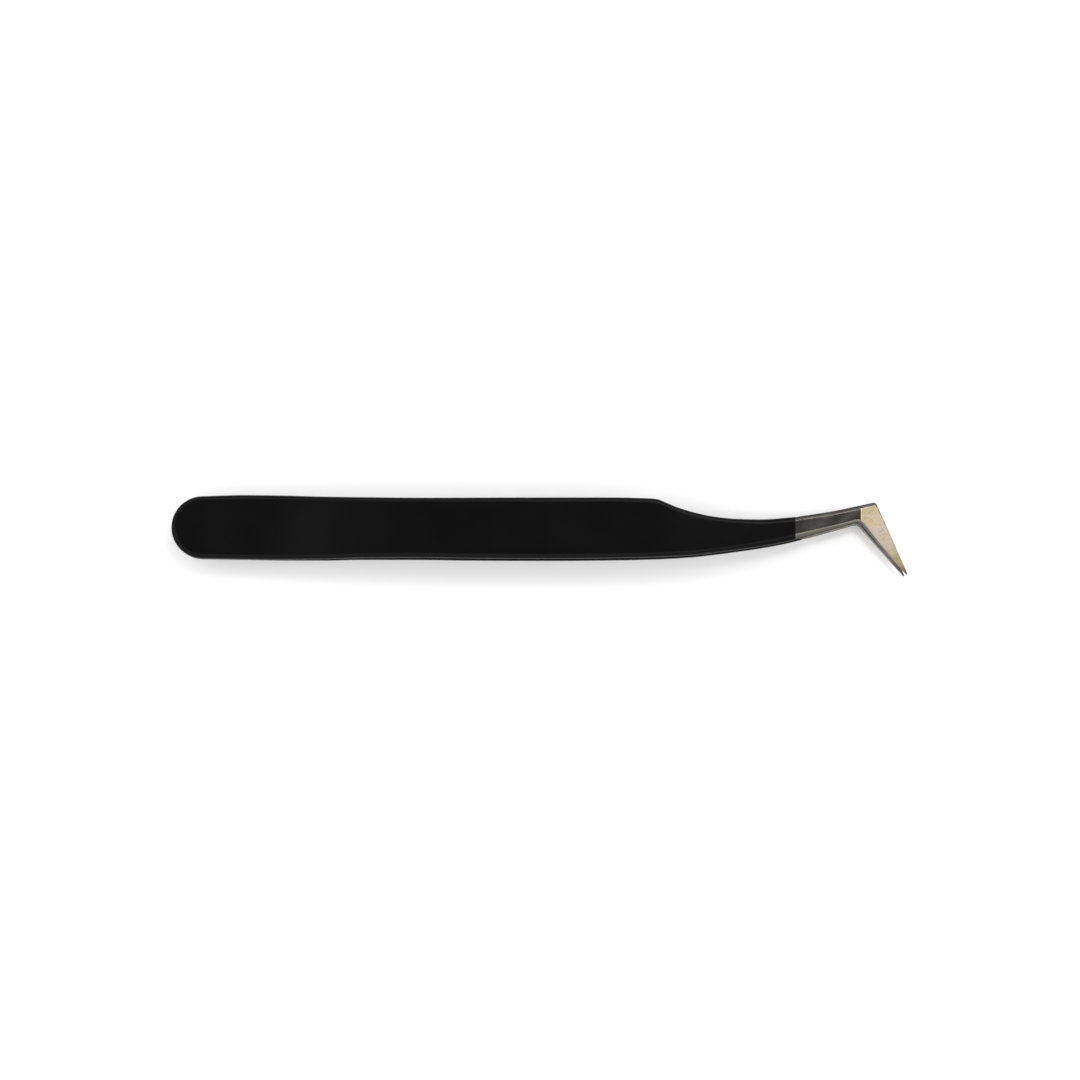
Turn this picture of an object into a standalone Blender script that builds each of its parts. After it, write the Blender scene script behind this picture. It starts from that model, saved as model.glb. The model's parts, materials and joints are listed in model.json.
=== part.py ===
"""Angled lash tweezers: two spring-steel arms welded at the tail, with a black coat on the grip.

The tweezers lie on one arm. X runs from the tail to the points, Y across the flat of the
arms, and Z is the closing direction. Lengths are in millimetres until add_mesh scales them.
"""

import math

import bmesh
import bpy
import numpy as np
from mathutils import Vector

MM = 0.001

# The tail, where both arms are welded together
TAIL_RADIUS = 5.11
TAIL_Y = 0.22
WELD_FRONT = 12.0
HINGE_GAP = 0.2
TAIL_INNER = 0.45
TAIL_OUTER = 1.85
SPACER_THICKNESS = 0.8
SPACER_INSET = 1.3
SPACER_SETBACK = 1.2
BEAD_RADIUS = 0.35
BEAD_INSET = 0.75
BEAD_SETBACK = 0.6
GROOVE_DEPTH = 0.2

# How far the arms stand apart, and how far they close
LAND_OUTER = 4.5
LAND_INNER = 3.08
LAND_START = 43.0
LAND_END = 76.0
CLOSING_ANGLE = math.radians(1.5)
TIP_CLEARANCE = 0.02

# The bare neck, the heel and the foot. A heel corner is rounded between the foot's edge and
# the line to a point HEEL_RUN before it.
FACET_START = 112.7
FACET_OUTER = 3.68
HEEL_OUT = (115.12, 4.24)
HEEL_IN = (112.52, 0.92)
HEEL_OUT_RADIUS = 0.55
HEEL_IN_RADIUS = 1.0
HEEL_RUN = 1.0
TIP = (120.22, -7.6)
TIP_OUTER = 3.14
TIP_WIDTH = 0.3

# The coat
COAT_WALL = 0.12
COAT_BURIES = 0.17
UPPER_COAT_END = 102.0
LOWER_COAT_END = 103.4
BARE_RAMP = 0.6

# Plan outline of an arm: x along it, y of its back edge and of its belly edge
BACK_EDGE = (
    (TAIL_RADIUS, TAIL_Y + TAIL_RADIUS), (12, 5.52), (18, 5.42), (24, 5.21), (31, 5.05),
    (42, 4.91), (56, 4.95), (72, 4.96), (77.5, 4.84), (79.4, 4.70), (80.7, 4.21),
    (82.7, 3.38), (85.3, 2.58), (88.5, 1.88), (92.5, 1.47), (96.3, 1.39), (100.9, 1.71),
    (106.2, 2.41), (109, 2.90), (112, 3.54), HEEL_OUT,
)
BELLY_EDGE = (
    (TAIL_RADIUS, TAIL_Y - TAIL_RADIUS), (12, -5.00), (19, -5.08), (25, -5.05), (31, -4.90),
    (40, -4.88), (50, -4.99), (62, -5.03), (71, -4.97), (79, -4.80), (84.8, -4.50),
    (88.8, -4.08), (92.7, -3.57), (96.7, -3.00), (100.6, -2.27), (104.6, -1.28),
    (108.5, -0.21), HEEL_IN,
)

# Width of the bevel along each edge of an arm's outer face
BACK_BEVEL = (
    (12, 0.50), (90, 0.50), (98, 0.58), (110.5, 0.58), (112.2, 0.50), (112.8, 0.35), (113.3, 0.15),
    (120.3, 0.06),
)
BELLY_BEVEL = (
    (12, 0.60), (90, 0.65), (102.5, 0.85), (110.5, 0.60), (113.4, 0.56), (114.6, 0.36),
    (115.6, 0.24), (117.2, 0.16), (120.3, 0.06),
)
BEVEL_DROP = 0.7
INNER_BEVEL = 0.15

# Where the cross-sections stand along the arm
SPRING_STEPS = 9
LAND_STEPS = 4
SHOULDER_STEPS = 12
NECK_START = 90.0
NECK_STEPS = 10
SKEW_START = 106.0
CORNER_STEPS = 5
FOOT_STEPS = 6
TAIL_ARC_STEPS = 9
TAIL_ARC_END = math.radians(83)
TAIL_RUN_STEPS = 2
BEND_STEPS = 14
EMPTY_SIZE = 5


def smooth(points, x):
    """Height at x of a smooth curve through the points, with no overshoot between them."""
    xs, ys = np.array(points, float).T
    x = min(max(x, xs[0]), xs[-1])
    chord = np.diff(ys) / np.diff(xs)
    tangent = np.zeros(len(xs))
    tangent[0], tangent[-1] = chord[0], chord[-1]
    for i in range(1, len(xs) - 1):
        before, after = chord[i - 1], chord[i]
        if before * after > 0:
            tangent[i] = 2 * before * after / (before + after)
    i = min(int(np.searchsorted(xs, x, side="right")) - 1, len(chord) - 1)
    width = xs[i + 1] - xs[i]
    t = (x - xs[i]) / width
    return float(
        (1 + 2 * t) * (1 - t) ** 2 * ys[i]
        + t * (1 - t) ** 2 * width * tangent[i]
        + t * t * (3 - 2 * t) * ys[i + 1]
        + t * t * (t - 1) * width * tangent[i + 1]
    )


def closed_height(x):
    """Height of an inner face that lies on its mate when the arms are shut."""
    return (x - WELD_FRONT) * math.tan(CLOSING_ANGLE) + TIP_CLEARANCE


# Height of an arm's outer and inner faces over the middle plane, up to the ground foot
OUTER_FACE = (
    (0, TAIL_OUTER), (WELD_FRONT, TAIL_OUTER), (17, 2.2), (27, 3.38), (37, 4.27),
    (LAND_START, LAND_OUTER), (LAND_END, LAND_OUTER), (90, 4.28), (102, 3.99),
    (FACET_START, FACET_OUTER),
)
INNER_FACE = (
    (0, TAIL_INNER), (WELD_FRONT, TAIL_INNER), (17, 0.8), (27, 1.98), (37, 2.86),
    (LAND_START, LAND_INNER), (LAND_END, LAND_INNER), (90, 2.93), (102, 2.78),
    (FACET_START, closed_height(FACET_START)),
)


def outer_height(x):
    """Height of an outer face; the foot is ground to a flat facet that dips to the point."""
    dip = (FACET_OUTER - TIP_OUTER) / (TIP[0] - FACET_START)
    return smooth(OUTER_FACE, x) - dip * max(0.0, x - FACET_START)


def inner_height(x):
    """Height of an inner face; the foot's is flat, and lies on its mate's when shut."""
    return closed_height(x) if x > FACET_START else smooth(INNER_FACE, x)


MIDDLE = Vector((TIP[0] / 2, (BACK_EDGE[1][1] + TIP[1]) / 2, -LAND_OUTER))
PIVOT_HEIGHT = (TAIL_INNER + TAIL_OUTER) / 2 - COAT_BURIES / 2


def arc(corner, before, after, radius, steps):
    """Points of the arc that rounds a corner between the lines to two other points."""
    corner, before, after = (np.array(p, float) for p in (corner, before, after))
    one = (before - corner) / np.linalg.norm(before - corner)
    two = (after - corner) / np.linalg.norm(after - corner)
    half = math.acos(float(one @ two)) / 2
    middle = (one + two) / np.linalg.norm(one + two)
    centre = corner + middle * radius / math.sin(half)
    start = corner + one * radius / math.tan(half) - centre
    end = corner + two * radius / math.tan(half) - centre
    sweep = math.pi - 2 * half
    return [
        centre
        + (math.sin((1 - t) * sweep) * start + math.sin(t * sweep) * end) / math.sin(sweep)
        for t in np.linspace(0, 1, steps + 1)
    ]


def arm_edges(coat_end):
    """The back edge and the belly edge from the weld to the point, in matching pairs."""
    along = np.array(TIP) - (np.array(HEEL_OUT) + np.array(HEEL_IN)) / 2
    across = np.array([-along[1], along[0]]) / np.linalg.norm(along)
    back_tip = np.array(TIP) + across * TIP_WIDTH / 2
    belly_tip = np.array(TIP) - across * TIP_WIDTH / 2
    before_out = (HEEL_OUT[0] - HEEL_RUN, smooth(BACK_EDGE, HEEL_OUT[0] - HEEL_RUN))
    before_in = (HEEL_IN[0] - HEEL_RUN, smooth(BELLY_EDGE, HEEL_IN[0] - HEEL_RUN))
    out_arc = arc(HEEL_OUT, before_out, back_tip, HEEL_OUT_RADIUS, CORNER_STEPS)
    in_arc = arc(HEEL_IN, before_in, belly_tip, HEEL_IN_RADIUS, CORNER_STEPS)

    places = np.concatenate([
        np.linspace(WELD_FRONT + HINGE_GAP / 2, LAND_START, SPRING_STEPS, endpoint=False),
        np.linspace(LAND_START, LAND_END, LAND_STEPS, endpoint=False),
        np.linspace(LAND_END, NECK_START, SHOULDER_STEPS, endpoint=False),
        np.linspace(NECK_START, in_arc[0][0], NECK_STEPS, endpoint=False),
        [coat_end, coat_end + BARE_RAMP],
    ])
    back, belly = [], []
    for x in sorted(places):
        t = max(0.0, (x - SKEW_START) / (in_arc[0][0] - SKEW_START))
        ahead = x + t * t * (out_arc[0][0] - in_arc[0][0])
        back.append(np.array([ahead, smooth(BACK_EDGE, ahead)]))
        belly.append(np.array([x, smooth(BELLY_EDGE, x)]))
    foot = np.linspace(0, 1, FOOT_STEPS + 1)[1:, None]
    back += out_arc + list(out_arc[-1] + foot * (back_tip - out_arc[-1]))
    belly += in_arc + list(in_arc[-1] + foot * (belly_tip - in_arc[-1]))
    return np.array(back), np.array(belly)


def tail_edges():
    """The same two edges round the tail, from its closed end to the front of the weld."""
    turn = np.linspace(TAIL_ARC_END, 0, TAIL_ARC_STEPS)
    x = TAIL_RADIUS * (1 - np.sin(turn))
    back = np.stack([x, TAIL_Y + TAIL_RADIUS * np.cos(turn)], axis=1)
    belly = np.stack([x, TAIL_Y - TAIL_RADIUS * np.cos(turn)], axis=1)
    places = np.linspace(TAIL_RADIUS, WELD_FRONT - HINGE_GAP / 2, TAIL_RUN_STEPS + 1)[1:]
    back_run = [(x, smooth(BACK_EDGE, x)) for x in places]
    belly_run = [(x, smooth(BELLY_EDGE, x)) for x in places]
    return np.vstack([back, back_run]), np.vstack([belly, belly_run])


def inward(edge, side):
    """Unit normals of an edge, pointing into the arm. side is 1 on the back, -1 on the belly."""
    tangent = np.gradient(edge, axis=0)
    tangent /= np.linalg.norm(tangent, axis=1)[:, None]
    return side * np.stack([tangent[:, 1], -tangent[:, 0]], axis=1)


def bury(x, coat_end):
    """How far the steel lies under the arm's finished outline: nothing where it is bare."""
    return COAT_BURIES * min(1.0, max(0.0, (coat_end + BARE_RAMP - x) / BARE_RAMP))


def blank_section(x, bevel, depth):
    """(inset, height) of one side of a blank, from its outer face down to its inner face."""
    top = outer_height(x) - depth
    low = inner_height(x)
    small = INNER_BEVEL * (top - low) / (LAND_OUTER - LAND_INNER)
    return [
        (depth + bevel, top),
        (depth, top - BEVEL_DROP * bevel),
        (depth, low + small),
        (depth + small, low),
    ]


def sleeve_section(x, bevel):
    """(inset, height) of one side of the coat's outer surface, all round a blank."""
    top = outer_height(x)
    low = inner_height(x) - COAT_BURIES
    return [
        (bevel, top),
        (0, top - BEVEL_DROP * bevel),
        (0, low + INNER_BEVEL),
        (INNER_BEVEL, low),
    ]


def thimble_section(bevel):
    """(inset, height) of one side of the coat over both welded blanks, with its groove."""
    upper = [
        (bevel, TAIL_OUTER),
        (0, TAIL_OUTER - BEVEL_DROP * bevel),
        (0, TAIL_INNER),
    ]
    return upper + [(GROOVE_DEPTH, 0)] + [(inset, -z) for inset, z in reversed(upper)]


def rings_along(edges, section, end=None):
    """One ring of points for each pair of edge points: down the back side, up the belly."""
    back, belly = edges
    into_back, into_belly = inward(back, 1), inward(belly, -1)
    rings = []
    for i in range(len(back)):
        if end and belly[i][0] > end:
            break
        rows = []
        for point, normal, bevels in (
            (back[i], into_back[i], BACK_BEVEL),
            (belly[i], into_belly[i], BELLY_BEVEL),
        ):
            rows.append([
                (*(point + normal * inset), z)
                for inset, z in section(point[0], smooth(bevels, belly[i][0]))
            ])
        rings.append(rows[0] + rows[1][::-1])
    return rings


def loft(rings, close_start=True, close_end=True):
    """A skin over the rings, with each closed end made of strips from side to side."""
    bm = bmesh.new()
    loops = [[bm.verts.new(point) for point in ring] for ring in rings]
    count = len(loops[0])
    for one, two in zip(loops, loops[1:]):
        for j in range(count):
            k = (j + 1) % count
            bm.faces.new((one[j], two[j], two[k], one[k]))
    for wanted, loop, flip in ((close_start, loops[0], -1), (close_end, loops[-1], 1)):
        for j in range(count // 2 - 1 if wanted else 0):
            strip = (loop[j], loop[count - 1 - j], loop[count - 2 - j], loop[j + 1])
            bm.faces.new(strip[::flip])
    return bm


def empty_at(name, place, collection):
    empty = bpy.data.objects.new(name, None)
    empty.empty_display_size = EMPTY_SIZE * MM
    empty.location = (Vector(place) - MIDDLE) * MM
    collection.objects.link(empty)
    return empty


def material(name, colour, roughness, metallic):
    made = bpy.data.materials.new(name)
    made.use_nodes = True
    shader = made.node_tree.nodes["Principled BSDF"]
    shader.inputs["Base Color"].default_value = (*colour, 1)
    shader.inputs["Roughness"].default_value = roughness
    shader.inputs["Metallic"].default_value = metallic
    return made


def add_mesh(name, bm, parent, finish, mirrored=False):
    """Makes a node of a mesh in millimetres. A mirrored one is turned over for the lower arm."""
    if mirrored:
        for vert in bm.verts:
            vert.co.z = -vert.co.z
        bmesh.ops.reverse_faces(bm, faces=bm.faces)
    for vert in bm.verts:
        vert.co = (vert.co - MIDDLE) * MM - parent.location
    mesh = bpy.data.meshes.new(name)
    bm.to_mesh(mesh)
    bm.free()
    mesh.materials.append(finish)
    made = bpy.data.objects.new(name, mesh)
    made.parent = parent
    parent.users_collection[0].objects.link(made)
    return made


def add_curve(name, spline_points, parent, finish):
    """A polyline node at the mid-plane, ready to be given a bevel or an extrusion."""
    curve = bpy.data.curves.new(name, "CURVE")
    spline = curve.splines.new("POLY")
    spline.points.add(len(spline_points) - 1)
    for point, (x, y) in zip(spline.points, spline_points):
        place = (Vector((x, y, 0)) - MIDDLE) * MM - parent.location
        point.co = (*place, 1)
    curve.materials.append(finish)
    made = bpy.data.objects.new(name, curve)
    made.parent = parent
    parent.users_collection[0].objects.link(made)
    return made


def coat_wall(coat):
    """Gives the open skin of a coat its wall, inwards from the finished surface."""
    wall = coat.modifiers.new("wall", "SOLIDIFY")
    wall.thickness = COAT_WALL * MM
    wall.offset = -1
    wall.use_even_offset = True


def tail_path(inset, front):
    """A U round the tail, this far in from its outline, open towards the points."""
    radius = TAIL_RADIUS - inset
    turn = np.linspace(-math.pi / 2, math.pi / 2, BEND_STEPS + 1)
    bend = [(TAIL_RADIUS - radius * math.cos(a), TAIL_Y + radius * math.sin(a)) for a in turn]
    return [(front, bend[0][1])] + bend + [(front, bend[-1][1])]


def build_tail(collection, steel, weld, black):
    frame = empty_at("tail_frame", (TAIL_RADIUS, TAIL_Y, 0), collection)
    edges = tail_edges()
    for name, mirrored in (("upper_arm_root", False), ("lower_arm_root", True)):
        rings = rings_along(edges, lambda x, bevel: blank_section(x, bevel, COAT_BURIES))
        add_mesh(name, loft(rings), frame, steel, mirrored)

    spacer = add_curve("tail_spacer", tail_path(SPACER_INSET, WELD_FRONT - SPACER_SETBACK), frame, steel)
    spacer.data.splines[0].use_cyclic_u = True
    spacer.data.dimensions = "2D"
    spacer.data.fill_mode = "BOTH"
    spacer.data.extrude = SPACER_THICKNESS / 2 * MM

    bead = add_curve("tail_weld_bead", tail_path(BEAD_INSET, WELD_FRONT - BEAD_SETBACK), frame, weld)
    bead.data.dimensions = "3D"
    bead.data.bevel_depth = BEAD_RADIUS * MM
    bead.data.bevel_resolution = 2
    bead.data.use_fill_caps = True

    rings = rings_along(edges, lambda x, bevel: thimble_section(bevel))
    coat_wall(add_mesh("tail_coat", loft(rings, close_end=False), frame, black))


def build_arm(name, collection, coat_end, steel, black, mirrored):
    height = -PIVOT_HEIGHT if mirrored else PIVOT_HEIGHT
    pivot = empty_at(f"{name}_pivot", (WELD_FRONT, TAIL_Y, height), collection)
    edges = arm_edges(coat_end)
    rings = rings_along(edges, lambda x, bevel: blank_section(x, bevel, bury(x, coat_end)))
    add_mesh(name, loft(rings), pivot, steel, mirrored)
    skin = loft(rings_along(edges, sleeve_section, coat_end), close_start=False, close_end=False)
    coat_wall(add_mesh(f"{name}_coat", skin, pivot, black, mirrored))


def main():
    for old in list(bpy.data.objects):
        bpy.data.objects.remove(old)
    collection = bpy.data.collections.new("lash_tweezers")
    bpy.context.scene.collection.children.link(collection)
    steel = material("bare_steel", (0.30, 0.29, 0.27), 0.32, 1.0)
    weld = material("weld_steel", (0.22, 0.20, 0.18), 0.5, 1.0)
    black = material("black_coat", (0.012, 0.012, 0.012), 0.42, 0.0)
    build_tail(collection, steel, weld, black)
    build_arm("upper_arm", collection, UPPER_COAT_END, steel, black, mirrored=False)
    build_arm("lower_arm", collection, LOWER_COAT_END, steel, black, mirrored=True)


main()
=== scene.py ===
import json
import math

import bmesh
import bpy
import numpy as np
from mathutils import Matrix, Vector


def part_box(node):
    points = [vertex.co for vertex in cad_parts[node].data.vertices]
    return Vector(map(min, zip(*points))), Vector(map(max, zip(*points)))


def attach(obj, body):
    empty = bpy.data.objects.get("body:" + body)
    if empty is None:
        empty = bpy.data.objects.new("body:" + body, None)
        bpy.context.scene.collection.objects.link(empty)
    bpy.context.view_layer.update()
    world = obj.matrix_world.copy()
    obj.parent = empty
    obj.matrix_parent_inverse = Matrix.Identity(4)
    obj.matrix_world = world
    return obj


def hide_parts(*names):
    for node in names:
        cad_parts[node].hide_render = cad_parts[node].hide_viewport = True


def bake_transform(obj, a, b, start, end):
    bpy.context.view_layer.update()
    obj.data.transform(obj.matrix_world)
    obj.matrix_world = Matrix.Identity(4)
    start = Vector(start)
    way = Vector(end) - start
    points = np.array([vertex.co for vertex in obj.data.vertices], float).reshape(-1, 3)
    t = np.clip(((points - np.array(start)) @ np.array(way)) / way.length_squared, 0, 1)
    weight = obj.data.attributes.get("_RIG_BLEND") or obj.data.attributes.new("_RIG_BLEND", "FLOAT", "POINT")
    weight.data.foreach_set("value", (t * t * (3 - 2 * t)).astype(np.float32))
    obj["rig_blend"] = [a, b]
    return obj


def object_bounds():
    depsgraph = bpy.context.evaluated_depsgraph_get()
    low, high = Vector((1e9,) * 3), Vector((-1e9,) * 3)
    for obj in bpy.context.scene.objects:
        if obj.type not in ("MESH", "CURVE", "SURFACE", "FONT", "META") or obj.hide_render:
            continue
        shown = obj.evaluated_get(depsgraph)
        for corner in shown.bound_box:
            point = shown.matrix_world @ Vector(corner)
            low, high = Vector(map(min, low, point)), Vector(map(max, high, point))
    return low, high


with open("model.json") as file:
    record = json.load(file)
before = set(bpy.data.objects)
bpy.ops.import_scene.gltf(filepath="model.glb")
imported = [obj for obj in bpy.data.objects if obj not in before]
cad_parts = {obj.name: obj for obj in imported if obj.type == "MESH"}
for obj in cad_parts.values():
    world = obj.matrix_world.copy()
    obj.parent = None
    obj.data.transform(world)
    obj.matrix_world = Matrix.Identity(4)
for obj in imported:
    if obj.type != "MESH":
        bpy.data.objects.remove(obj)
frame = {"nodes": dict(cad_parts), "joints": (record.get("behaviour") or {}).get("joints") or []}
cad_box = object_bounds()

# ---------------------------------------------------------------------------------------
# Spring-steel blanks
# Each arm is one stamped and ground stainless blank, from the welded tail to the point.
# Its outer edges are bevelled by hand, the neck is finished lengthways, and the foot is
# ground across its face to a flat facet that dips to the point.

MM = 0.001
TAIL_RADIUS = 5.11
TAIL_Y = 0.22
WELD_FRONT = 12.0
FLEX_END = 44.0
LAND_START, LAND_END = 43.0, 76.0
NECK_SKEW_START = 106.0
CREASE = 112.7
HEEL_OUT, HEEL_IN = (115.12, 4.24), (112.52, 0.92)
HEEL_OUT_RADIUS, HEEL_IN_RADIUS = 0.5, 1.0
HEEL_RUN = 1.0
TIP, TIP_WIDTH, TIP_OUTER = (120.22, -7.6), 0.26, 3.14
TAIL_ARC_START, TAIL_ARC_STEPS = 88, 24
CORNER_STEPS, FOOT_STEPS = 14, 28
STATION_STEP = 0.4
CLOSING_ANGLE = math.radians(frame["joints"][0]["range_deg"][1])
TIP_CLEARANCE = 0.02

BACK_EDGE = (
    (TAIL_RADIUS, TAIL_Y + TAIL_RADIUS), (12, 5.52), (18, 5.42), (24, 5.21), (31, 5.05),
    (42, 4.91), (56, 4.95), (72, 4.96), (77.5, 4.84), (79.4, 4.70), (80.7, 4.21),
    (82.7, 3.38), (85.3, 2.58), (88.5, 1.88), (92.5, 1.47), (96.3, 1.39), (100.9, 1.71),
    (106.2, 2.41), (109, 2.90), (112, 3.54), HEEL_OUT,
)
BELLY_EDGE = (
    (TAIL_RADIUS, TAIL_Y - TAIL_RADIUS), (12, -5.00), (19, -5.08), (25, -5.05), (31, -4.90),
    (40, -4.88), (50, -4.99), (62, -5.03), (71, -4.97), (79, -4.80), (84.8, -4.50),
    (88.8, -4.08), (92.7, -3.57), (96.7, -3.00), (100.6, -2.27), (104.6, -1.28),
    (108.5, -0.21), HEEL_IN,
)
OUTER_FACE = (
    (0, 1.85), (WELD_FRONT, 1.85), (17, 2.2), (27, 3.38), (37, 4.27),
    (LAND_START, 4.5), (LAND_END, 4.5), (90, 4.28), (102, 3.99), (CREASE, 3.68),
)
INNER_FACE = (
    (0, 0.45), (WELD_FRONT, 0.45), (17, 0.8), (27, 1.98), (37, 2.86),
    (LAND_START, 3.08), (LAND_END, 3.08), (90, 2.93), (102, 2.78), (CREASE, 2.66),
)
FOOT_DIP = (OUTER_FACE[-1][1] - TIP_OUTER) / (TIP[0] - CREASE)
BACK_BEVEL = (
    (12, 0.50), (90, 0.50), (98, 0.58), (110.5, 0.58), (112.2, 0.5), (112.8, 0.35), (113.3, 0.15),
    (120.4, 0.05),
)
BELLY_BEVEL = (
    (12, 0.60), (90, 0.65), (102.5, 0.85), (110.5, 0.60), (113.4, 0.56), (114.6, 0.36),
    (115.6, 0.24), (117.2, 0.16), (120.4, 0.05),
)
BEVEL_DROP = 0.7
INNER_BEVEL_SHARE = 0.18
SHOULDER = 1.25
FULL_DEPTH, EDGE_DEPTH = 0.17, 0.09
MOST_INSET = 0.9
OUTER_FACE_ROWS = range(0, 2)
SIDE_WALL_ROWS = range(4, 10)
STEEL_EASE = 0.06
MOST_EASE = 0.45
UV_UNIT = 10.0

tail_low, tail_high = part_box("tail_coat")
TAIL_END = tail_low.x
MIDDLE_Y = (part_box("tail_spacer")[0].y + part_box("tail_spacer")[1].y) / 2 - TAIL_Y * MM
MIDDLE_Z = (tail_low.z + tail_high.z) / 2


def smooth(points, x):
    """Height at each x of a smooth curve through the points, with no overshoot."""
    xs, ys = np.array(points, float).T
    x = np.clip(np.asarray(x, float), xs[0], xs[-1])
    chord = np.diff(ys) / np.diff(xs)
    together = chord[:-1] * chord[1:] > 0
    total = np.where(together, chord[:-1] + chord[1:], 1)
    inner = np.where(together, 2 * chord[:-1] * chord[1:] / total, 0)
    tangent = np.concatenate(([chord[0]], inner, [chord[-1]]))
    i = np.minimum(np.searchsorted(xs, x, side="right") - 1, len(chord) - 1)
    width = xs[i + 1] - xs[i]
    t = (x - xs[i]) / width
    return (
        (1 + 2 * t) * (1 - t) ** 2 * ys[i]
        + t * (1 - t) ** 2 * width * tangent[i]
        + t * t * (3 - 2 * t) * ys[i + 1]
        + t * t * (t - 1) * width * tangent[i + 1]
    )


def outer_height(x):
    """How far the outer face lies from the plane midway between the arms."""
    return float(smooth(OUTER_FACE, x)) - FOOT_DIP * max(0.0, x - CREASE)


def inner_height(x):
    """The same for the inner face, which meets its twin along the foot when closed."""
    shut = (x - WELD_FRONT) * math.tan(CLOSING_ANGLE) + TIP_CLEARANCE
    return shut if x > CREASE else float(smooth(INNER_FACE, x))


def corner_arc(corner, before, after, radius, steps):
    """Points of the arc that rounds a corner between the lines to two other points."""
    corner, before, after = (np.array(p, float) for p in (corner, before, after))
    one = (before - corner) / np.linalg.norm(before - corner)
    two = (after - corner) / np.linalg.norm(after - corner)
    half = math.acos(float(one @ two)) / 2
    centre = corner + (one + two) / np.linalg.norm(one + two) * radius / math.sin(half)
    start = corner + one * radius / math.tan(half) - centre
    end = corner + two * radius / math.tan(half) - centre
    sweep = math.pi - 2 * half
    t = np.linspace(0, 1, steps + 1)[:, None]
    return centre + (np.sin((1 - t) * sweep) * start + np.sin(t * sweep) * end) / math.sin(sweep)


HEEL_MIDDLE = (np.array(HEEL_OUT) + np.array(HEEL_IN)) / 2
FOOT_AXIS = (np.array(TIP) - HEEL_MIDDLE) / np.linalg.norm(np.array(TIP) - HEEL_MIDDLE)


def blank_edges():
    """The back and the belly edge, in matching pairs, from the tail's end to the point."""
    turn = np.radians(np.linspace(TAIL_ARC_START, 0, TAIL_ARC_STEPS, endpoint=False))
    tail_x = TAIL_RADIUS * (1 - np.sin(turn))
    across = TAIL_RADIUS * np.cos(turn)
    side = np.array([-FOOT_AXIS[1], FOOT_AXIS[0]]) * TIP_WIDTH / 2
    before_out = (HEEL_OUT[0] - HEEL_RUN, smooth(BACK_EDGE, HEEL_OUT[0] - HEEL_RUN))
    before_in = (HEEL_IN[0] - HEEL_RUN, smooth(BELLY_EDGE, HEEL_IN[0] - HEEL_RUN))
    out_arc = corner_arc(HEEL_OUT, before_out, TIP + side, HEEL_OUT_RADIUS, CORNER_STEPS)
    in_arc = corner_arc(HEEL_IN, before_in, TIP - side, HEEL_IN_RADIUS, CORNER_STEPS)
    reach = in_arc[0][0]
    x = np.linspace(TAIL_RADIUS, reach, int((reach - TAIL_RADIUS) / STATION_STEP), endpoint=False)
    t = np.clip((x - NECK_SKEW_START) / (reach - NECK_SKEW_START), 0, 1)
    ahead = x + t * t * (out_arc[0][0] - reach)
    foot = np.linspace(0, 1, FOOT_STEPS + 1)[1:, None]
    back = np.vstack([
        np.stack([tail_x, TAIL_Y + across], axis=1),
        np.stack([ahead, smooth(BACK_EDGE, ahead)], axis=1),
        out_arc,
        out_arc[-1] + foot * (TIP + side - out_arc[-1]),
    ])
    belly = np.vstack([
        np.stack([tail_x, TAIL_Y - across], axis=1),
        np.stack([x, smooth(BELLY_EDGE, x)], axis=1),
        in_arc,
        in_arc[-1] + foot * (TIP - side - in_arc[-1]),
    ])
    return back, belly


def eased(rows, soft):
    """The same profile with each inner corner turned through three points, soft mm apart."""
    rows = [np.array(row, float) for row in rows]
    out = [rows[0]]
    for before, corner, after in zip(rows, rows[1:], rows[2:]):
        back, on = before - corner, after - corner
        back *= min(soft / np.linalg.norm(back), MOST_EASE)
        on *= min(soft / np.linalg.norm(on), MOST_EASE)
        out += [corner + back, corner + (back + on) / 4, corner + on]
    return out + [rows[-1]]


def steel_depth(x, coat_end):
    """How far the steel lies under the finished outline, where a coat covers it."""
    thinning = ((coat_end - 4, FULL_DEPTH), (coat_end - 0.2, EDGE_DEPTH), (coat_end + 1.2, 0))
    return float(smooth(thinning, x))


def blank_section(x, bevel, coat_end):
    """(inset, height) down one side of a blank, from its outer to its inner face."""
    depth = steel_depth(x, coat_end)
    top, low = outer_height(x) - depth, inner_height(x)
    small = INNER_BEVEL_SHARE * (top - low)
    rows = [
        (depth + bevel * SHOULDER, top),
        (depth + bevel, top),
        (depth, top - BEVEL_DROP * bevel),
        (depth, low + small),
        (depth + small, low),
        (depth + small * SHOULDER, low),
    ]
    return eased(rows, STEEL_EASE * min(1.0, top - low))


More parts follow.
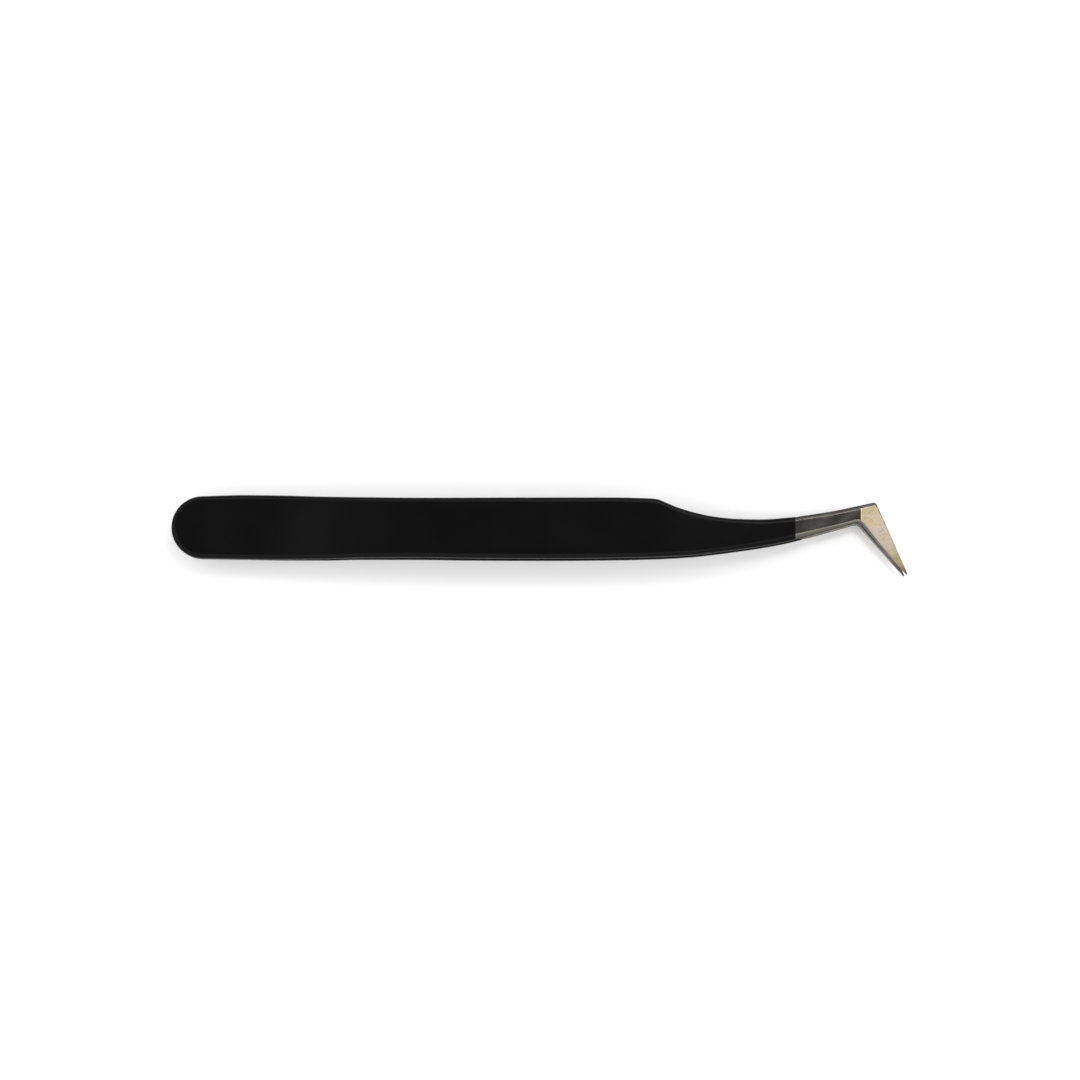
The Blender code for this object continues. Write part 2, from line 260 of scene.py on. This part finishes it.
def loft(section, edges, last=None, walls_from=0):
    """A skin lofted over the sections, in millimetres, with its along-and-across map.

    The strip over the inner face is left out before walls_from, where blanks are welded.
    """
    back, belly = edges
    middle = (back + belly) / 2
    along = np.concatenate([[0], np.cumsum(np.linalg.norm(np.diff(middle, axis=0), axis=1))])
    normals = []
    for edge, turn in ((back, 1), (belly, -1)):
        tangent = np.gradient(edge, axis=0)
        tangent /= np.linalg.norm(tangent, axis=1)[:, None]
        normals.append(turn * np.stack([tangent[:, 1], -tangent[:, 0]], axis=1))
    bm = bmesh.new()
    u_of, v_of = bm.verts.layers.float.new("along_mm"), bm.verts.layers.float.new("across_mm")
    crease_of = bm.verts.layers.float.new("past_crease_mm")
    foot_of = bm.verts.layers.float.new("down_foot_mm")
    face_of = bm.verts.layers.float.new("on_outer_face")
    rim_of = bm.verts.layers.float.new("on_side_wall")
    loops = []
    for i in range(len(back) if last is None else last):
        rows = []
        half = np.linalg.norm(back[i] - belly[i]) / 2
        for point, normal, bevels, sign in (
            (back[i], normals[0][i], BACK_BEVEL, 1),
            (belly[i], normals[1][i], BELLY_BEVEL, -1),
        ):
            side = []
            reach = 0.0
            before = None
            room = MOST_INSET * half if point[0] > TAIL_RADIUS else TAIL_RADIUS
            for inset, z in section(point[0], float(smooth(bevels, belly[i][0]))):
                place = point + normal * min(inset, room)
                vert = bm.verts.new((*place, z))
                now = np.array([inset, z])
                reach += 0 if before is None else np.linalg.norm(now - before)
                before = now
                vert[u_of] = along[i]
                vert[v_of] = sign * (half - min(inset, room) + reach)
                vert[crease_of] = place[0] - CREASE
                vert[foot_of] = float((place - HEEL_MIDDLE) @ FOOT_AXIS)
                vert[face_of] = float(len(side) in OUTER_FACE_ROWS)
                vert[rim_of] = float(len(side) in SIDE_WALL_ROWS)
                side.append(vert)
            rows.append(side)
        loops.append(rows[0] + rows[1][::-1])
    count = len(loops[0])
    for k, (one, two) in enumerate(zip(loops, loops[1:])):
        for j in range(count):
            if j == count // 2 - 1 and k < walls_from:
                continue
            n = (j + 1) % count
            bm.faces.new((one[j], two[j], two[n], one[n]))
    for loop, turn in ((loops[0], -1), (loops[-1], 1)):
        if turn == 1 and last is not None:
            continue
        for j in range(count // 2 - 1):
            strip = (loop[j], loop[count - 1 - j], loop[count - 2 - j], loop[j + 1])
            bm.faces.new(strip[::turn])
    return bm


ON_FACE = 0.05


def crease_foot(bm):
    """Cuts a straight edge where the ground facet begins, and levels it on the outer face."""
    cut = bmesh.ops.bisect_plane(
        bm, geom=bm.verts[:] + bm.edges[:] + bm.faces[:],
        plane_co=(CREASE, 0, 0), plane_no=(1, 0, 0), dist=1e-5,
    )
    crease_of = bm.verts.layers.float["past_crease_mm"]
    for vert in (g for g in cut["geom_cut"] if isinstance(g, bmesh.types.BMVert)):
        vert[crease_of] = 0
        if vert.co.z > outer_height(CREASE) - ON_FACE:
            vert.co.z = outer_height(CREASE)


def finish_mesh(bm, name, lower, materials):
    """Turns a lofted skin into an object in the model's frame, mirrored for the lower arm."""
    layers = bm.verts.layers.float
    uv = bm.loops.layers.uv.new("along_across")
    for face in bm.faces:
        for corner in face.loops:
            v = corner.vert
            corner[uv].uv = (v[layers["along_mm"]] / UV_UNIT, v[layers["across_mm"]] / UV_UNIT)
    if lower:
        for vert in bm.verts:
            vert.co.z = -vert.co.z
        bmesh.ops.reverse_faces(bm, faces=bm.faces)
    for vert in bm.verts:
        vert.co = Vector((
            TAIL_END + vert.co.x * MM, MIDDLE_Y + vert.co.y * MM, MIDDLE_Z + vert.co.z * MM,
        ))
    mesh = bpy.data.meshes.new(name)
    bm.to_mesh(mesh)
    bm.free()
    for finish in materials:
        mesh.materials.append(finish)
    piece = bpy.data.objects.new(name, mesh)
    bpy.context.scene.collection.objects.link(piece)
    return piece


def colour(code):
    """A hex sRGB colour as linear red, green, blue and alpha."""
    parts = [int(code[i:i + 2], 16) / 255 for i in (1, 3, 5)]
    return (*(c / 12.92 if c <= 0.04045 else ((c + 0.055) / 1.055) ** 2.4 for c in parts), 1)


def add(tree, kind, sockets=None, stops=(), **settings):
    """Adds a node with its settings, its colour stops, and its sockets' values or links."""
    made = tree.nodes.new(kind)
    for key, value in settings.items():
        setattr(made, key, value)
    for _ in stops[2:]:
        made.color_ramp.elements.new(1.0)
    for i, (place, code) in enumerate(stops):
        made.color_ramp.elements[i].position = place
        made.color_ramp.elements[i].color = colour(code)
    for key, value in (sockets or {}).items():
        if isinstance(value, bpy.types.NodeSocket):
            tree.links.new(value, made.inputs[key])
        else:
            made.inputs[key].default_value = value
    return made


def new_material(name):
    """An empty material tree with its Principled shader and its output."""
    made = bpy.data.materials.new(name)
    made.use_nodes = True
    made.node_tree.nodes.clear()
    shader = add(made.node_tree, "ShaderNodeBsdfPrincipled")
    add(made.node_tree, "ShaderNodeOutputMaterial", {"Surface": shader.outputs["BSDF"]})
    return made, made.node_tree, shader


# Martensitic stainless, drawn lengthways over a fine belt and left unpolished: a dark
# reflective grey with faint long scratches, and a brown strip of painted reflection beside the
# foot. Its side walls are painted dark as far as the rims of the bevels, which is painted shade,
# and the steel is painted lighter from the crease onto the foot. Belt scratches are finer than
# these, which are drawn wide enough to show.
SCRATCH_LENGTH, SCRATCH_WIDTH = 5.0, 0.09
CLOUD_SIZE = 4.0
# Width of the brown painted reflection on the outer face before the crease.
REFLECTION_STRIP_WIDTH = 0.9
MIX_A, MIX_B, MIX_RESULT = 6, 7, 2

satin_steel, tree, shader = new_material("satin_drawn_stainless")
place = add(tree, "ShaderNodeUVMap", uv_map="along_across").outputs["UV"]
along = add(tree, "ShaderNodeMapping", {
    "Vector": place, "Scale": (SCRATCH_LENGTH / UV_UNIT, SCRATCH_WIDTH / UV_UNIT, 1),
}, vector_type="TEXTURE").outputs["Vector"]
scratches = add(tree, "ShaderNodeTexNoise", {
    "Vector": along, "Scale": 1.0, "Detail": 5.0, "Roughness": 0.62,
}).outputs["Fac"]
clouds = add(tree, "ShaderNodeTexNoise", {
    "Vector": place, "Scale": UV_UNIT / CLOUD_SIZE, "Detail": 3.0, "Roughness": 0.5,
}).outputs["Fac"]
past = add(tree, "ShaderNodeAttribute", attribute_name="past_crease_mm").outputs["Fac"]
on_face = add(tree, "ShaderNodeAttribute", attribute_name="on_outer_face").outputs["Fac"]
# Painted reflection: a brown strip mixed into the grey on the outer face just before the crease.
near_foot = add(tree, "ShaderNodeMapRange", {
    "Value": past, "From Min": -REFLECTION_STRIP_WIDTH, "From Max": -0.3 * REFLECTION_STRIP_WIDTH,
    "To Min": 0.0, "To Max": 0.85,
}, interpolation_type="SMOOTHSTEP").outputs["Result"]
reflection_mask = add(tree, "ShaderNodeMath", {0: near_foot, 1: on_face}, operation="MULTIPLY")
grey = add(tree, "ShaderNodeValToRGB", {"Fac": scratches}, stops=((0.32, "#6B6861"), (0.68, "#938F88")))
brown_reflection = add(tree, "ShaderNodeValToRGB", {"Fac": scratches}, stops=((0.3, "#7A5F38"), (0.7, "#9C7E4A")))
with_reflection = add(tree, "ShaderNodeMix", {
    0: reflection_mask.outputs["Value"], MIX_A: grey.outputs["Color"], MIX_B: brown_reflection.outputs["Color"],
}, data_type="RGBA").outputs[MIX_RESULT]
# The steel is painted lighter from just before the crease onto the foot, mixed up to 30 % towards a pale
# grey.
along_foot = add(tree, "ShaderNodeMapRange", {
    "Value": past, "From Min": -0.5, "From Max": 1.0, "To Min": 0.0, "To Max": 0.3,
}).outputs["Result"]
lightened_on_foot = add(tree, "ShaderNodeMix", {
    0: along_foot, MIX_A: with_reflection, MIX_B: colour("#D6CEC4"),
}, data_type="RGBA").outputs[MIX_RESULT]
# Painted shade: the side walls are darkened towards #34322E up to the rims of the bevels, a little less on
# the foot.
wall = add(tree, "ShaderNodeAttribute", attribute_name="on_side_wall").outputs["Fac"]
rim_shade_strength = add(tree, "ShaderNodeMapRange", {
    "Value": past, "From Min": -0.5, "From Max": 1.0, "To Min": 0.9, "To Max": 0.8,
}).outputs["Result"]
rim_shade_amount = add(tree, "ShaderNodeMapRange", {
    "Value": wall, "From Min": 0.78, "From Max": 0.96, "To Min": 0.0, "To Max": rim_shade_strength,
}, interpolation_type="SMOOTHSTEP").outputs["Result"]
with_rim_shade = add(tree, "ShaderNodeMix", {
    0: rim_shade_amount, MIX_A: lightened_on_foot, MIX_B: colour("#34322E"),
}, data_type="RGBA").outputs[MIX_RESULT]
rough = add(tree, "ShaderNodeMapRange", {
    "Value": clouds, "From Min": 0.3, "From Max": 0.7, "To Min": 0.2, "To Max": 0.28,
})
scratch_bump = add(tree, "ShaderNodeBump", {
    "Height": scratches, "Strength": 0.25, "Distance": 0.01 * MM,
})
shader.inputs["Metallic"].default_value = 1.0
tree.links.new(with_rim_shade, shader.inputs["Base Color"])
tree.links.new(rough.outputs["Result"], shader.inputs["Roughness"])
tree.links.new(scratch_bump.outputs["Normal"], shader.inputs["Normal"])

# The same steel dry-ground across the foot on a fine wheel: a bright matt straw colour in
# uneven short streaks, where the heat of grinding has tinted it, and smoky at the point.
# The streaks are drawn coarser than the wheel leaves them, so that they show.
STREAK_LENGTH, STREAK_WIDTH = 1.1, 0.3
STREAK_TURN = math.atan2(FOOT_AXIS[0], -FOOT_AXIS[1])
BLOTCH_SIZE = 1.6
FOOT_LENGTH = float(np.linalg.norm(np.array(TIP) - HEEL_MIDDLE))
# Width of the painted highlight along the crease where the facet begins.
CREASE_HIGHLIGHT_WIDTH = 0.22

ground_steel, tree, shader = new_material("cross_ground_stainless")
place = add(tree, "ShaderNodeUVMap", uv_map="along_across").outputs["UV"]
across = add(tree, "ShaderNodeMapping", {
    "Vector": place, "Rotation": (0, 0, math.pi / 2 - STREAK_TURN),
    "Scale": (STREAK_LENGTH / UV_UNIT, STREAK_WIDTH / UV_UNIT, 1),
}, vector_type="TEXTURE").outputs["Vector"]
streaks = add(tree, "ShaderNodeTexNoise", {
    "Vector": across, "Scale": 1.0, "Detail": 4.0, "Roughness": 0.6, "Distortion": 0.4,
}).outputs["Fac"]
blotches = add(tree, "ShaderNodeTexNoise", {
    "Vector": place, "Scale": UV_UNIT / BLOTCH_SIZE, "Detail": 3.0, "Roughness": 0.55,
}).outputs["Fac"]
down = add(tree, "ShaderNodeAttribute", attribute_name="down_foot_mm").outputs["Fac"]
down_foot = add(tree, "ShaderNodeMapRange", {
    "Value": down, "From Min": 0.0, "From Max": FOOT_LENGTH, "To Min": 0.0, "To Max": 1.0,
}).outputs["Result"]
straw = add(tree, "ShaderNodeValToRGB", {"Fac": down_foot}, stops=(
    (0.0, "#BBAC8D"), (0.12, "#C6B8A2"), (0.28, "#C2B7AA"), (0.48, "#BFB4A4"), (0.67, "#B2A890"),
    (0.76, "#A59777"), (0.84, "#A3946F"), (0.92, "#7C6F50"), (1.0, "#443F2C"),
))
rose = add(tree, "ShaderNodeValToRGB", {"Fac": blotches}, stops=(
    (0.35, "#FFF6DC"), (0.5, "#FFFFFF"), (0.65, "#F3ECF4"),
))
streaked = add(tree, "ShaderNodeValToRGB", {"Fac": streaks}, stops=((0.3, "#D6D0C8"), (0.6, "#FFFFFF")))
blotched = add(tree, "ShaderNodeMix", {
    0: 0.9, MIX_A: straw.outputs["Color"], MIX_B: rose.outputs["Color"],
}, data_type="RGBA", blend_type="MULTIPLY").outputs[MIX_RESULT]
ground = add(tree, "ShaderNodeMix", {
    0: 0.75, MIX_A: blotched, MIX_B: streaked.outputs["Color"],
}, data_type="RGBA", blend_type="MULTIPLY").outputs[MIX_RESULT]
past = add(tree, "ShaderNodeAttribute", attribute_name="past_crease_mm").outputs["Fac"]
# Painted highlight: a pale cream line along the crease at the start of the ground facet.
at_crease = add(tree, "ShaderNodeMapRange", {
    "Value": past, "From Min": 0.5 * CREASE_HIGHLIGHT_WIDTH, "From Max": CREASE_HIGHLIGHT_WIDTH, "To Min": 0.4, "To Max": 0.0,
}, interpolation_type="SMOOTHSTEP").outputs["Result"]
with_crease_highlight = add(tree, "ShaderNodeMix", {
    0: at_crease, MIX_A: ground, MIX_B: colour("#EDE2CC"),
}, data_type="RGBA").outputs[MIX_RESULT]
rough = add(tree, "ShaderNodeMapRange", {
    "Value": blotches, "From Min": 0.3, "From Max": 0.7, "To Min": 0.42, "To Max": 0.52,
})
streak_bump = add(tree, "ShaderNodeBump", {
    "Height": streaks, "Strength": 0.3, "Distance": 0.02 * MM,
})
shader.inputs["Metallic"].default_value = 1.0
tree.links.new(with_crease_highlight, shader.inputs["Base Color"])
tree.links.new(rough.outputs["Result"], shader.inputs["Roughness"])
tree.links.new(streak_bump.outputs["Normal"], shader.inputs["Normal"])

UPPER_COAT_END, LOWER_COAT_END = 102.0, 103.4
ARMS = (
    ("upper", False, UPPER_COAT_END),
    ("lower", True, LOWER_COAT_END),
)
FACET_FACING = 0.95
AT_CREASE = 0.001
BLANK_SHARP = math.radians(14)
edges = blank_edges()
START = (TAIL_END + WELD_FRONT * MM, 0, MIDDLE_Z)
END = (TAIL_END + FLEX_END * MM, 0, MIDDLE_Z)
for side, lower, coat_end in ARMS:
    bm = loft(lambda x, bevel: blank_section(x, bevel, coat_end), edges)
    crease_foot(bm)
    bm.normal_update()
    crease_of = bm.verts.layers.float["past_crease_mm"]
    for face in bm.faces:
        past_crease = min(vert[crease_of] for vert in face.verts) > -AT_CREASE
        face.material_index = int(past_crease and face.normal.z > FACET_FACING)
        face.smooth = True
    blank = finish_mesh(bm, f"{side}_blank", lower, (satin_steel, ground_steel))
    blank.data.set_sharp_from_angle(angle=BLANK_SHARP)
    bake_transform(blank, "tail", f"{side}_arm", start=START, end=END)
    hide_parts(f"{side}_arm", f"{side}_arm_root")

# ---------------------------------------------------------------------------------------
# Grip coats
# A baked black epoxy coat about 0.15 mm thick covers each blank from the tail to the
# narrow part of the neck, where it was masked and ends in a thin square edge. At the tail
# the two halves meet in a groove over the weld.

COAT_WALL, COAT_CORNER, COAT_EASE = 0.13, 0.15, 0.3
COAT_SHOULDER = 1.6
SINK_SHARE = 0.2
HALF_GAP = 0.03
GROOVE_DEPTH, GROOVE_LIP = 0.2, 0.45
PARTING_LENGTH = 1.5
WALLED_DEPTH = 0.15
COAT_SHARP = math.radians(50)

# Epoxy powder coat: near-black, satin, with a faint orange peel and patches that handling
# has polished a little.
PEEL_SIZE, HANDLING_SIZE = 0.45, 14.0

black_coat, tree, shader = new_material("black_epoxy_powder_coat")
place = add(tree, "ShaderNodeTexCoord").outputs["Object"]
peel = add(tree, "ShaderNodeTexNoise", {
    "Vector": place, "Scale": 1 / (PEEL_SIZE * MM), "Detail": 2.0, "Roughness": 0.45,
}).outputs["Fac"]
handling = add(tree, "ShaderNodeTexNoise", {
    "Vector": place, "Scale": 1 / (HANDLING_SIZE * MM), "Detail": 3.0, "Roughness": 0.5,
}).outputs["Fac"]
shade = add(tree, "ShaderNodeValToRGB", {"Fac": handling}, stops=((0.35, "#070707"), (0.65, "#090909")))
rough = add(tree, "ShaderNodeMapRange", {
    "Value": handling, "From Min": 0.3, "From Max": 0.7, "To Min": 0.28, "To Max": 0.34,
})
peel_bump = add(tree, "ShaderNodeBump", {
    "Height": peel, "Strength": 0.2, "Distance": 0.02 * MM,
})
shader.inputs["IOR"].default_value = 1.5
shader.inputs["Specular IOR Level"].default_value = 0.08
tree.links.new(shade.outputs["Color"], shader.inputs["Base Color"])
tree.links.new(rough.outputs["Result"], shader.inputs["Roughness"])
tree.links.new(peel_bump.outputs["Normal"], shader.inputs["Normal"])


def coat_section(x, bevel, coat_end):
    """(inset, height) down one side of a coat, as far as the groove where blanks meet."""
    thinned = COAT_WALL - min(COAT_WALL, steel_depth(x, coat_end))
    apart = min(1.0, max(0.0, (x - WELD_FRONT) / PARTING_LENGTH))
    top = outer_height(x) - SINK_SHARE * thinned
    low = HALF_GAP + apart * (inner_height(x) - FULL_DEPTH - HALF_GAP)
    corner = GROOVE_LIP + apart * (low + COAT_CORNER - GROOVE_LIP)
    inset = GROOVE_DEPTH + apart * (COAT_CORNER - GROOVE_DEPTH)
    rows = [
        (bevel * COAT_SHOULDER, top),
        (bevel, top),
        (0, top - BEVEL_DROP * bevel),
        (0, corner),
        (inset, low),
        (inset + COAT_CORNER, low),
    ]
    return eased(rows, COAT_EASE)


belly_x = edges[1][:, 0]
weld_station = int(np.argmax(belly_x > WELD_FRONT))
for side, lower, coat_end in ARMS:
    last = int(np.argmax(belly_x > coat_end + 1))
    skin = loft(
        lambda x, bevel: coat_section(x, bevel, coat_end), edges, last=last, walls_from=weld_station,
    )
    bmesh.ops.bisect_plane(
        skin, geom=skin.verts[:] + skin.edges[:] + skin.faces[:],
        plane_co=(coat_end, 0, 0), plane_no=(1, 0, 0), clear_outer=True,
    )
    for face in skin.faces:
        face.smooth = True
    coat = finish_mesh(skin, f"{side}_grip_coat", lower, (black_coat,))
    thinning = coat.vertex_groups.new(name="wall")
    for vert in coat.data.vertices:
        x = (vert.co.x - TAIL_END) / MM
        thinning.add([vert.index], min(1.0, steel_depth(x, coat_end) / WALLED_DEPTH), "REPLACE")
    wall = coat.modifiers.new("wall", "SOLIDIFY")
    wall.thickness = COAT_WALL * MM
    wall.offset = -1
    wall.vertex_group = thinning.name
    final = bpy.data.meshes.new_from_object(
        coat.evaluated_get(bpy.context.evaluated_depsgraph_get())
    )
    coat.modifiers.clear()
    coat.data = final
    coat.data.set_sharp_from_angle(angle=COAT_SHARP)
    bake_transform(coat, "tail", f"{side}_arm", start=START, end=END)
    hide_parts(f"{side}_arm_coat", "tail_coat")

# ---------------------------------------------------------------------------------------
# Weld bead
# The blanks and their shim are run together with a rippled bead round the closed end and
# across its front. The coat covers it, so it shows as a fine black line in the groove.

BEAD = {"Bead radius": 0.42 * MM, "Ripple pitch": 0.6 * MM, "Ripple height": 0.06}
BEAD_INSET, BEAD_SETBACK = 0.55, 0.3
BEND_POINTS = 25
STEPS_A_RIPPLE = 4

bead_tree = bpy.data.node_groups.new("rippled_bead", "GeometryNodeTree")
bead_tree.interface.new_socket("Path", in_out="INPUT", socket_type="NodeSocketGeometry")
bead_inputs = {
    name: bead_tree.interface.new_socket(name, in_out="INPUT", socket_type="NodeSocketFloat").identifier
    for name in BEAD
}
finish_input = bead_tree.interface.new_socket(
    "Finish", in_out="INPUT", socket_type="NodeSocketMaterial"
).identifier
bead_tree.interface.new_socket("Bead", in_out="OUTPUT", socket_type="NodeSocketGeometry")
given = add(bead_tree, "NodeGroupInput").outputs
step = add(bead_tree, "ShaderNodeMath", {
    0: given["Ripple pitch"], 1: STEPS_A_RIPPLE,
}, operation="DIVIDE")
points = add(bead_tree, "GeometryNodeResampleCurve", {
    "Curve": given["Path"], "Length": step.outputs[0],
}, mode="LENGTH")
travelled = add(bead_tree, "GeometryNodeSplineParameter").outputs["Length"]
ripples = add(bead_tree, "ShaderNodeMath", {
    0: travelled, 1: given["Ripple pitch"],
}, operation="DIVIDE")
turned = add(bead_tree, "ShaderNodeMath", {0: ripples.outputs[0], 1: math.tau}, operation="MULTIPLY")
wave = add(bead_tree, "ShaderNodeMath", {0: turned.outputs[0]}, operation="SINE")
swell = add(bead_tree, "ShaderNodeMath", {
    0: wave.outputs[0], 1: given["Ripple height"], 2: 1.0,
}, operation="MULTIPLY_ADD")
radius = add(bead_tree, "ShaderNodeMath", {
    0: swell.outputs[0], 1: given["Bead radius"],
}, operation="MULTIPLY")
ring = add(bead_tree, "GeometryNodeCurvePrimitiveCircle", {"Resolution": 12, "Radius": 1.0})
thick = add(bead_tree, "GeometryNodeSetCurveRadius", {
    "Curve": points.outputs["Curve"], "Radius": radius.outputs[0],
})
tube = add(bead_tree, "GeometryNodeCurveToMesh", {
    "Curve": thick.outputs["Curve"], "Profile Curve": ring.outputs["Curve"],
    "Scale": radius.outputs[0],
})
real = add(bead_tree, "GeometryNodeRealizeInstances", {"Geometry": tube.outputs["Mesh"]})
shaded = add(bead_tree, "GeometryNodeSetShadeSmooth", {"Geometry": real.outputs["Geometry"]})
dressed = add(bead_tree, "GeometryNodeSetMaterial", {
    "Geometry": shaded.outputs["Geometry"], "Material": given["Finish"],
})
add(bead_tree, "NodeGroupOutput", {"Bead": dressed.outputs["Geometry"]})

bend_radius = TAIL_RADIUS - BEAD_INSET
bend = np.linspace(-math.pi / 2, math.pi / 2, BEND_POINTS)
path_points = [
    (TAIL_RADIUS - bend_radius * math.cos(a), TAIL_Y + bend_radius * math.sin(a)) for a in bend
]
front = WELD_FRONT - BEAD_SETBACK
path_points += [(front, path_points[-1][1]), (front, path_points[0][1])]
path = bpy.data.curves.new("bead_path", "CURVE")
path.dimensions = "3D"
spline = path.splines.new("POLY")
spline.points.add(len(path_points) - 1)
spline.use_cyclic_u = True
for point, (x, y) in zip(spline.points, path_points):
    point.co = (TAIL_END + x * MM, MIDDLE_Y + y * MM, MIDDLE_Z, 1)
path_object = bpy.data.objects.new("bead_path", path)
bpy.context.scene.collection.objects.link(path_object)
beading = path_object.modifiers.new("bead", "NODES")
beading.node_group = bead_tree
for name, value in BEAD.items():
    beading[bead_inputs[name]] = value
beading[finish_input] = black_coat
bead_mesh = bpy.data.meshes.new_from_object(
    path_object.evaluated_get(bpy.context.evaluated_depsgraph_get())
)
bead = bpy.data.objects.new("coated_weld_bead", bead_mesh)
bpy.context.scene.collection.objects.link(bead)
bpy.data.objects.remove(path_object)
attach(bead, "tail")
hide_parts("tail_weld_bead")

# ---------------------------------------------------------------------------------------
# Tail shim
# A flat stainless shim between the blanks sets how far the points stand open. It is cut
# from strip and is hidden by the coat and the bead.

# Cold-rolled stainless strip: an even mid-grey with a faint mottle.
MOTTLE_SIZE = 0.8

strip_steel, tree, shader = new_material("cold_rolled_stainless_strip")
place = add(tree, "ShaderNodeTexCoord").outputs["Object"]
mottle = add(tree, "ShaderNodeTexNoise", {
    "Vector": place, "Scale": 1 / (MOTTLE_SIZE * MM), "Detail": 2.0,
}).outputs["Fac"]
shade = add(tree, "ShaderNodeValToRGB", {"Fac": mottle}, stops=((0.3, "#8E8B86"), (0.7, "#A5A29C")))
shader.inputs["Metallic"].default_value = 1.0
shader.inputs["Roughness"].default_value = 0.35
tree.links.new(shade.outputs["Color"], shader.inputs["Base Color"])

shim = frame["nodes"]["tail_spacer"]
shim.data.materials.clear()
shim.data.materials.append(strip_steel)

# ---------------------------------------------------------------------------------------
# Studio
# A white sweep in a light tent: bright halfway up and dim overhead, so that flat steel
# mirrors the dim part and bevels the lower walls, which are lighter in front. Three softboxes
# add a little from behind and from both sides.

# Matt white paper, which gives a soft shadow and a little light from below.
SWEEP_SIZE = 6

sweep_white, tree, shader = new_material("white_paper_sweep")
shader.inputs["Base Color"].default_value = colour("#F4F4F4")
shader.inputs["Roughness"].default_value = 0.9
shader.inputs["Specular IOR Level"].default_value = 0.1
bpy.ops.mesh.primitive_plane_add(size=SWEEP_SIZE, location=(0, 0, cad_box[0][2]))
sweep = bpy.context.object
sweep.name = "paper_sweep"
sweep.data.materials.append(sweep_white)

world = bpy.data.worlds.new("studio")
bpy.context.scene.world = world
world.use_nodes = True
world.node_tree.nodes.clear()
tree = world.node_tree
towards = add(tree, "ShaderNodeTexCoord").outputs["Generated"]
heading = add(tree, "ShaderNodeSeparateXYZ", {"Vector": towards})
sky = add(tree, "ShaderNodeValToRGB", {"Fac": heading.outputs["Z"]}, stops=(
    (0.0, "#545454"), (0.45, "#585858"), (0.63, "#FFFFFF"), (0.82, "#FFFFFF"), (0.93, "#202020"),
))
frontward = add(tree, "ShaderNodeMapRange", {
    "Value": heading.outputs["Y"], "From Min": -0.2, "From Max": -0.6, "To Min": 0.0, "To Max": 1.0,
}).outputs["Result"]
tent = add(tree, "ShaderNodeMix", {
    0: frontward, MIX_A: sky.outputs["Color"], MIX_B: colour("#7E7E7E"),
}, data_type="RGBA", blend_type="LIGHTEN").outputs[MIX_RESULT]
background = add(tree, "ShaderNodeBackground", {"Color": tent, "Strength": 2.6})
add(tree, "ShaderNodeOutputWorld", {"Surface": background.outputs["Background"]})


def softbox(name, place, size, power):
    """A square area light that faces the tweezers."""
    light = bpy.data.lights.new(name, "AREA")
    light.shape = "SQUARE"
    light.size = size
    light.energy = power
    lamp = bpy.data.objects.new(name, light)
    lamp.location = place
    lamp.rotation_euler = (-Vector(place)).to_track_quat("-Z", "Y").to_euler()
    bpy.context.scene.collection.objects.link(lamp)


softbox("back_softbox", place=(0.2, 0.46, 0.8), size=0.4, power=2.2)
softbox("left_softbox", place=(-0.8, -0.1, 0.6), size=0.5, power=0.3)
softbox("right_softbox", place=(0.75, -0.05, 0.7), size=0.5, power=0.6)

VIEW_WIDTH = 0.17596
VIEW_DISTANCE = 0.74
VIEW_TILT = math.radians(3.3)
look_at = Vector((TAIL_END + 60.34 * MM, MIDDLE_Y - 2.04 * MM, cad_box[1][2]))
lens = bpy.data.cameras.new("camera")
lens.sensor_width = 36
lens.lens = lens.sensor_width * VIEW_DISTANCE / VIEW_WIDTH
lens.clip_start = 0.01
camera = bpy.data.objects.new("camera", lens)
camera.location = look_at + VIEW_DISTANCE * Vector((0, -math.sin(VIEW_TILT), math.cos(VIEW_TILT)))
camera.rotation_euler = (VIEW_TILT, 0, 0)
bpy.context.scene.collection.objects.link(camera)
bpy.context.scene.camera = camera
bpy.context.scene.view_settings.view_transform = "Standard"
